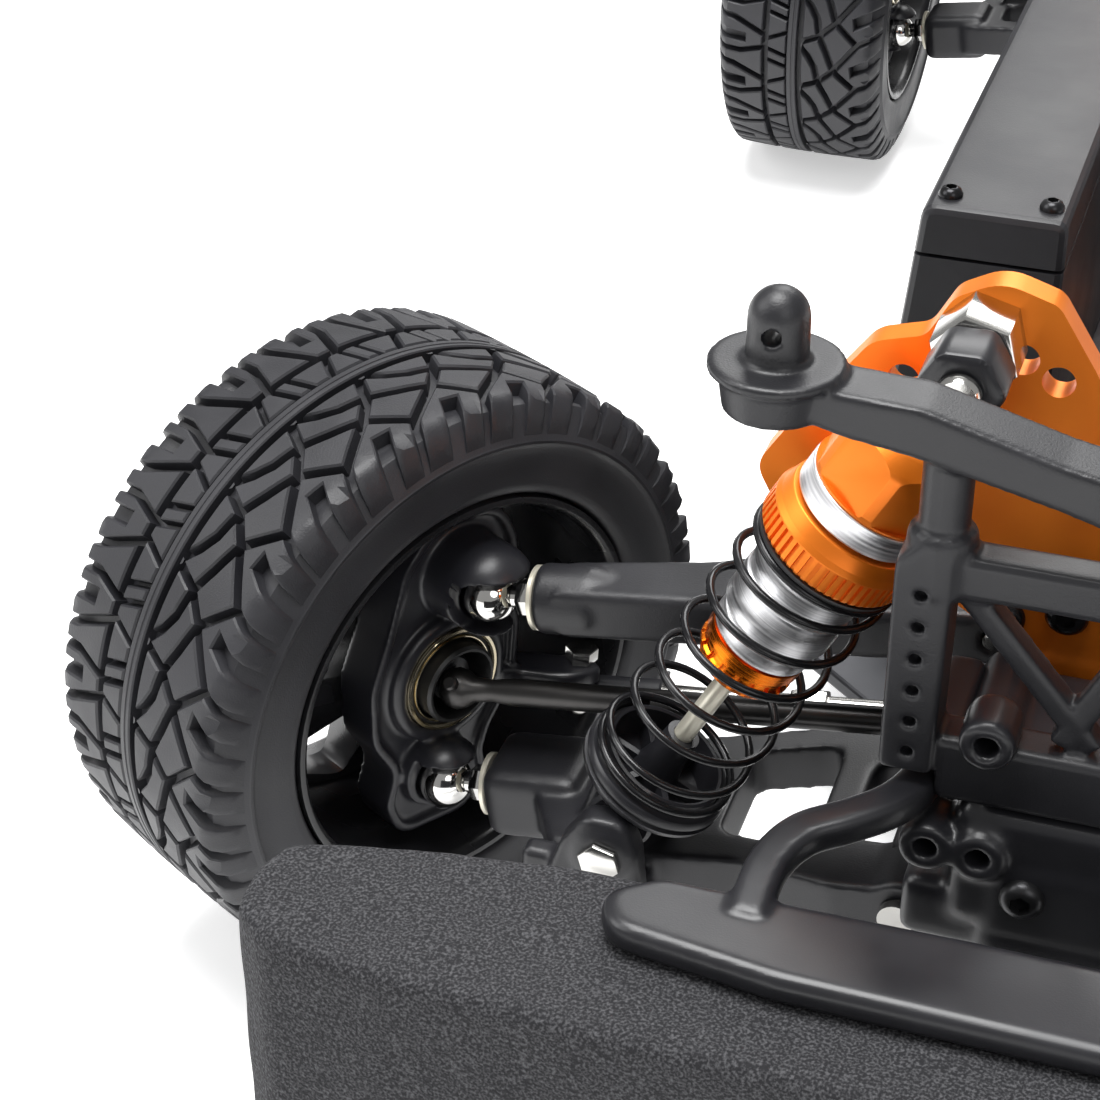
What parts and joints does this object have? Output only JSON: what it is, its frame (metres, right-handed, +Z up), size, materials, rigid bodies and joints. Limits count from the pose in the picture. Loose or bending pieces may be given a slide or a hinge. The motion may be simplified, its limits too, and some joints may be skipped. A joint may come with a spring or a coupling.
{
  "type": "remote-control drift car chassis",
  "caption": "Remote-control drift car without its body shell: shaft-driven wheels on sprung double arms, steered front wheels, foam bumper and body posts.",
  "frame": {"origin": "on the ground, midway between the axles and between the left and right wheels", "axes": "+Z up, the car drives towards -Y, +X is the car's left side"},
  "size_m": [0.3325, 0.524, 0.1477],
  "materials": {
    "black_nylon": "satin",
    "gloss_black_plastic": "gloss",
    "tyre_rubber": "matte",
    "bumper_foam": "matte",
    "orange_anodised": "satin",
    "silver_aluminium": "satin",
    "polished_steel": "polished",
    "dark_steel": "satin",
    "black_spring_steel": "gloss",
    "dark_alloy": "satin",
    "gear_steel": "satin",
    "chassis_aluminium": "satin",
    "motor_can": "satin",
    "servo_case": "satin",
    "battery_wrap": "satin"
  },
  "bodies": {
    "chassis": {"chassis_plate": "chassis_aluminium", "front_gear_case": "black_nylon", "rear_gear_case": "black_nylon", "front_shock_tower": "orange_anodised", "rear_shock_tower": "orange_anodised", "front_body_mount": "black_nylon", "rear_body_mount": "black_nylon", "front_bumper_foam": "bumper_foam", "front_bumper_brace": "black_nylon", "steering_servo": "servo_case", "motor": "motor_can", "centre_mount": "orange_anodised", "battery_pack": "battery_wrap", "radio_box": "black_nylon"},
    "bellcrank_left": {"bellcrank_left": "black_nylon"},
    "front_right_lower_arm": {"front_right_lower_arm": "black_nylon"},
    "front_right_upper_arm": {"front_right_upper_arm": "black_nylon"},
    "front_right_pivot_ball": {"front_right_pivot_ball": "polished_steel"},
    "front_right_knuckle": {"front_right_knuckle": "gloss_black_plastic"},
    "front_right_wheel": {"front_right_rim": "gloss_black_plastic", "front_right_tyre": "tyre_rubber"},
    "front_right_drive_shaft": {"front_right_drive_shaft": "dark_steel"},
    "front_right_shock_body": {"front_right_shock_body": "orange_anodised", "front_right_spring": "black_spring_steel"},
    "front_right_shock_rod": {"front_right_shock_rod": "polished_steel"},
    "front_left_lower_arm": {"front_left_lower_arm": "black_nylon"},
    "front_left_upper_arm": {"front_left_upper_arm": "black_nylon"},
    "front_left_pivot_ball": {"front_left_pivot_ball": "polished_steel"},
    "front_left_knuckle": {"front_left_knuckle": "gloss_black_plastic"},
    "front_left_wheel": {"front_left_rim": "gloss_black_plastic", "front_left_tyre": "tyre_rubber"},
    "front_left_drive_shaft": {"front_left_drive_shaft": "dark_steel"},
    "front_left_shock_body": {"front_left_shock_body": "orange_anodised", "front_left_spring": "black_spring_steel"},
    "front_left_shock_rod": {"front_left_shock_rod": "polished_steel"},
    "rear_right_lower_arm": {"rear_right_lower_arm": "black_nylon"},
    "rear_right_upper_arm": {"rear_right_upper_arm": "black_nylon"},
    "rear_right_knuckle": {"rear_right_knuckle": "gloss_black_plastic"},
    "rear_right_wheel": {"rear_right_rim": "gloss_black_plastic", "rear_right_tyre": "tyre_rubber"},
    "rear_right_drive_shaft": {"rear_right_drive_shaft": "dark_steel"},
    "rear_right_shock_body": {"rear_right_shock_body": "orange_anodised", "rear_right_spring": "black_spring_steel"},
    "rear_right_shock_rod": {"rear_right_shock_rod": "polished_steel"},
    "rear_left_lower_arm": {"rear_left_lower_arm": "black_nylon"},
    "rear_left_upper_arm": {"rear_left_upper_arm": "black_nylon"},
    "rear_left_knuckle": {"rear_left_knuckle": "gloss_black_plastic"},
    "rear_left_wheel": {"rear_left_rim": "gloss_black_plastic", "rear_left_tyre": "tyre_rubber"},
    "rear_left_drive_shaft": {"rear_left_drive_shaft": "dark_steel"},
    "rear_left_shock_body": {"rear_left_shock_body": "orange_anodised", "rear_left_spring": "black_spring_steel"},
    "rear_left_shock_rod": {"rear_left_shock_rod": "polished_steel"},
    "bellcrank_right": {"bellcrank_right": "black_nylon"},
    "steering_plate": {"steering_plate": "silver_aluminium"},
    "servo_horn": {"servo_horn": "black_nylon"},
    "tie_rod_right": {"tie_rod_right": "polished_steel"},
    "tie_rod_left": {"tie_rod_left": "polished_steel"},
    "centre_shaft": {"spur_gear_shaft": "dark_alloy"},
    "motor_pinion": {"motor_pinion": "gear_steel"}
  },
  "joints": [
    {"name": "steering", "type": "hinge", "parent": "chassis", "child": "bellcrank_left", "pos_m": [0.016, -0.132, 0.05], "axis": [0, 0, 1], "range_deg": [0, 56]},
    {"name": "front_right_suspension", "type": "hinge", "parent": "chassis", "child": "front_right_lower_arm", "pos_m": [-0.0348, -0.172, 0.0437], "axis": [0, 1, 0], "range_deg": [-8, 9], "stiffness_Nm_per_rad": 3, "springref_deg": -7.62},
    {"name": "front_right_upper_swing", "type": "hinge", "parent": "chassis", "child": "front_right_upper_arm", "pos_m": [-0.0282, -0.168, 0.0779], "axis": [0, 1, 0], "range_deg": [-8.05, 9.05]},
    {"name": "front_right_ball_swing", "type": "hinge", "parent": "front_right_lower_arm", "child": "front_right_pivot_ball", "pos_m": [-0.1118, -0.172, 0.0329], "axis": [0, 1, 0], "range_deg": [-9.05, 8.05]},
    {"name": "front_right_steer", "type": "hinge", "parent": "front_right_pivot_ball", "child": "front_right_knuckle", "pos_m": [-0.1085, -0.17, 0.05], "axis": [0.1882, 0.1141, 0.9755], "range_deg": [0, 56.1]},
    {"name": "front_right_wheel_spin", "type": "hinge", "parent": "front_right_knuckle", "child": "front_right_wheel", "pos_m": [-0.1085, -0.17, 0.05], "axis": [0.8659, -0.5001, -0.0071], "continuous": true},
    {"name": "front_right_drive_shaft_swing", "type": "hinge", "parent": "chassis", "child": "front_right_drive_shaft", "pos_m": [-0.0315, -0.17, 0.0608], "axis": [0, 1, 0], "range_deg": [-8.05, 9.05]},
    {"name": "front_right_shock_swing", "type": "hinge", "parent": "chassis", "child": "front_right_shock_body", "pos_m": [-0.0331, -0.1906, 0.1291], "axis": [0, 1, 0], "range_deg": [-1.26, 1.41]},
    {"name": "front_right_shock_stroke", "type": "slide", "parent": "front_right_shock_body", "child": "front_right_shock_rod", "axis": [0.4791, 0, 0.8778], "range_m": [-0.00556, 0.00625], "deforming": ["front_right_spring"]},
    {"name": "front_left_suspension", "type": "hinge", "parent": "chassis", "child": "front_left_lower_arm", "pos_m": [0.0348, -0.172, 0.0437], "axis": [0, -1, 0], "range_deg": [-8, 9], "stiffness_Nm_per_rad": 3, "springref_deg": -7.62},
    {"name": "front_left_upper_swing", "type": "hinge", "parent": "chassis", "child": "front_left_upper_arm", "pos_m": [0.0282, -0.168, 0.0779], "axis": [0, -1, 0], "range_deg": [-8.05, 9.05]},
    {"name": "front_left_ball_swing", "type": "hinge", "parent": "front_left_lower_arm", "child": "front_left_pivot_ball", "pos_m": [0.1118, -0.172, 0.0329], "axis": [0, -1, 0], "range_deg": [-9.05, 8.05]},
    {"name": "front_left_steer", "type": "hinge", "parent": "front_left_pivot_ball", "child": "front_left_knuckle", "pos_m": [0.1085, -0.17, 0.05], "axis": [-0.1882, 0.1141, 0.9755], "range_deg": [0, 56.1]},
    {"name": "front_left_wheel_spin", "type": "hinge", "parent": "front_left_knuckle", "child": "front_left_wheel", "pos_m": [0.1085, -0.17, 0.05], "axis": [0.8554, -0.5033, 0.1224], "continuous": true},
    {"name": "front_left_drive_shaft_swing", "type": "hinge", "parent": "chassis", "child": "front_left_drive_shaft", "pos_m": [0.0315, -0.17, 0.0608], "axis": [0, -1, 0], "range_deg": [-8.05, 9.05]},
    {"name": "front_left_shock_swing", "type": "hinge", "parent": "chassis", "child": "front_left_shock_body", "pos_m": [0.0331, -0.1906, 0.1291], "axis": [0, -1, 0], "range_deg": [-1.26, 1.41]},
    {"name": "front_left_shock_stroke", "type": "slide", "parent": "front_left_shock_body", "child": "front_left_shock_rod", "axis": [-0.4791, 0, 0.8778], "range_m": [-0.00556, 0.00625], "deforming": ["front_left_spring"]},
    {"name": "rear_right_suspension", "type": "hinge", "parent": "chassis", "child": "rear_right_lower_arm", "pos_m": [-0.0348, 0.172, 0.0437], "axis": [0, 1, 0], "range_deg": [-8, 9], "stiffness_Nm_per_rad": 3, "springref_deg": -7.62},
    {"name": "rear_right_upper_swing", "type": "hinge", "parent": "chassis", "child": "rear_right_upper_arm", "pos_m": [-0.0282, 0.168, 0.0779], "axis": [0, 1, 0], "range_deg": [-8.05, 9.05]},
    {"name": "rear_right_knuckle_swing", "type": "hinge", "parent": "rear_right_lower_arm", "child": "rear_right_knuckle", "pos_m": [-0.1118, 0.172, 0.0329], "axis": [0, 1, 0], "range_deg": [-9.05, 8.05]},
    {"name": "rear_right_wheel_spin", "type": "hinge", "parent": "rear_right_knuckle", "child": "rear_right_wheel", "pos_m": [-0.1085, 0.17, 0.05], "axis": [0.9997, 0, -0.0262], "continuous": true},
    {"name": "rear_right_drive_shaft_swing", "type": "hinge", "parent": "chassis", "child": "rear_right_drive_shaft", "pos_m": [-0.0315, 0.17, 0.0608], "axis": [0, 1, 0], "range_deg": [-8.05, 9.05]},
    {"name": "rear_right_shock_swing", "type": "hinge", "parent": "chassis", "child": "rear_right_shock_body", "pos_m": [-0.0331, 0.1906, 0.1291], "axis": [0, 1, 0], "range_deg": [-1.26, 1.41]},
    {"name": "rear_right_shock_stroke", "type": "slide", "parent": "rear_right_shock_body", "child": "rear_right_shock_rod", "axis": [0.4791, 0, 0.8778], "range_m": [-0.00556, 0.00625], "deforming": ["rear_right_spring"]},
    {"name": "rear_left_suspension", "type": "hinge", "parent": "chassis", "child": "rear_left_lower_arm", "pos_m": [0.0348, 0.172, 0.0437], "axis": [0, -1, 0], "range_deg": [-8, 9], "stiffness_Nm_per_rad": 3, "springref_deg": -7.62},
    {"name": "rear_left_upper_swing", "type": "hinge", "parent": "chassis", "child": "rear_left_upper_arm", "pos_m": [0.0282, 0.168, 0.0779], "axis": [0, -1, 0], "range_deg": [-8.05, 9.05]},
    {"name": "rear_left_knuckle_swing", "type": "hinge", "parent": "rear_left_lower_arm", "child": "rear_left_knuckle", "pos_m": [0.1118, 0.172, 0.0329], "axis": [0, -1, 0], "range_deg": [-9.05, 8.05]},
    {"name": "rear_left_wheel_spin", "type": "hinge", "parent": "rear_left_knuckle", "child": "rear_left_wheel", "pos_m": [0.1085, 0.17, 0.05], "axis": [0.9997, 0, 0.0262], "continuous": true},
    {"name": "rear_left_drive_shaft_swing", "type": "hinge", "parent": "chassis", "child": "rear_left_drive_shaft", "pos_m": [0.0315, 0.17, 0.0608], "axis": [0, -1, 0], "range_deg": [-8.05, 9.05]},
    {"name": "rear_left_shock_swing", "type": "hinge", "parent": "chassis", "child": "rear_left_shock_body", "pos_m": [0.0331, 0.1906, 0.1291], "axis": [0, -1, 0], "range_deg": [-1.26, 1.41]},
    {"name": "rear_left_shock_stroke", "type": "slide", "parent": "rear_left_shock_body", "child": "rear_left_shock_rod", "axis": [-0.4791, 0, 0.8778], "range_m": [-0.00556, 0.00625], "deforming": ["rear_left_spring"]},
    {"name": "bellcrank_right_swing", "type": "hinge", "parent": "chassis", "child": "bellcrank_right", "pos_m": [-0.016, -0.132, 0.05], "axis": [0, 0, 1], "range_deg": [0, 56.1]},
    {"name": "steering_plate_swing", "type": "hinge", "parent": "bellcrank_left", "child": "steering_plate", "pos_m": [0.02818, -0.11132, 0.0522], "axis": [0, 0, 1], "range_deg": [-56.1, 0]},
    {"name": "servo_horn_turn", "type": "hinge", "parent": "chassis", "child": "servo_horn", "pos_m": [0.03, -0.0985, 0.0413], "axis": [0, 1, 0], "range_deg": [-56.1, 0]},
    {"name": "tie_rod_right_swing", "type": "hinge", "parent": "steering_plate", "child": "tie_rod_right", "pos_m": [-0.01932, -0.14932, 0.0498], "axis": [0, 1, 0], "range_deg": [-8.05, 9.05]},
    {"name": "tie_rod_left_swing", "type": "hinge", "parent": "steering_plate", "child": "tie_rod_left", "pos_m": [0.04368, -0.14932, 0.0498], "axis": [0, -1, 0], "range_deg": [-8.05, 9.05]},
    {"name": "centre_shaft_spin", "type": "hinge", "parent": "chassis", "child": "centre_shaft", "pos_m": [0, 0.014, 0.0608], "axis": [0, 1, 0], "continuous": true},
    {"name": "motor_pinion_spin", "type": "hinge", "parent": "chassis", "child": "motor_pinion", "pos_m": [0.0275, 0.014, 0.05069], "axis": [0, 1, 0], "continuous": true}
  ],
  "couplings": [
    {"joint": "front_right_upper_swing", "follows": "front_right_suspension", "ratio": 1},
    {"joint": "front_right_ball_swing", "follows": "front_right_suspension", "ratio": -1},
    {"joint": "front_right_steer", "follows": "steering", "ratio": 1},
    {"joint": "front_right_drive_shaft_swing", "follows": "front_right_suspension", "ratio": 1},
    {"joint": "front_right_shock_swing", "follows": "front_right_suspension", "ratio": 0.151},
    {"joint": "front_right_shock_stroke", "follows": "front_right_suspension", "m_per_rad": 0.03948},
    {"joint": "front_left_upper_swing", "follows": "front_left_suspension", "ratio": 1},
    {"joint": "front_left_ball_swing", "follows": "front_left_suspension", "ratio": -1},
    {"joint": "front_left_steer", "follows": "steering", "ratio": 1},
    {"joint": "front_left_drive_shaft_swing", "follows": "front_left_suspension", "ratio": 1},
    {"joint": "front_left_shock_swing", "follows": "front_left_suspension", "ratio": 0.151},
    {"joint": "front_left_shock_stroke", "follows": "front_left_suspension", "m_per_rad": 0.03948},
    {"joint": "rear_right_upper_swing", "follows": "rear_right_suspension", "ratio": 1},
    {"joint": "rear_right_knuckle_swing", "follows": "rear_right_suspension", "ratio": -1},
    {"joint": "rear_right_drive_shaft_swing", "follows": "rear_right_suspension", "ratio": 1},
    {"joint": "rear_right_shock_swing", "follows": "rear_right_suspension", "ratio": 0.151},
    {"joint": "rear_right_shock_stroke", "follows": "rear_right_suspension", "m_per_rad": 0.03948},
    {"joint": "rear_left_upper_swing", "follows": "rear_left_suspension", "ratio": 1},
    {"joint": "rear_left_knuckle_swing", "follows": "rear_left_suspension", "ratio": -1},
    {"joint": "rear_left_drive_shaft_swing", "follows": "rear_left_suspension", "ratio": 1},
    {"joint": "rear_left_shock_swing", "follows": "rear_left_suspension", "ratio": 0.151},
    {"joint": "rear_left_shock_stroke", "follows": "rear_left_suspension", "m_per_rad": 0.03948},
    {"joint": "bellcrank_right_swing", "follows": "steering", "ratio": 1},
    {"joint": "steering_plate_swing", "follows": "steering", "ratio": -1},
    {"joint": "servo_horn_turn", "follows": "steering", "ratio": -1},
    {"joint": "tie_rod_right_swing", "follows": "front_right_suspension", "ratio": 1},
    {"joint": "tie_rod_left_swing", "follows": "front_left_suspension", "ratio": 1},
    {"joint": "motor_pinion_spin", "follows": "centre_shaft_spin", "ratio": -3.1429}
  ]
}
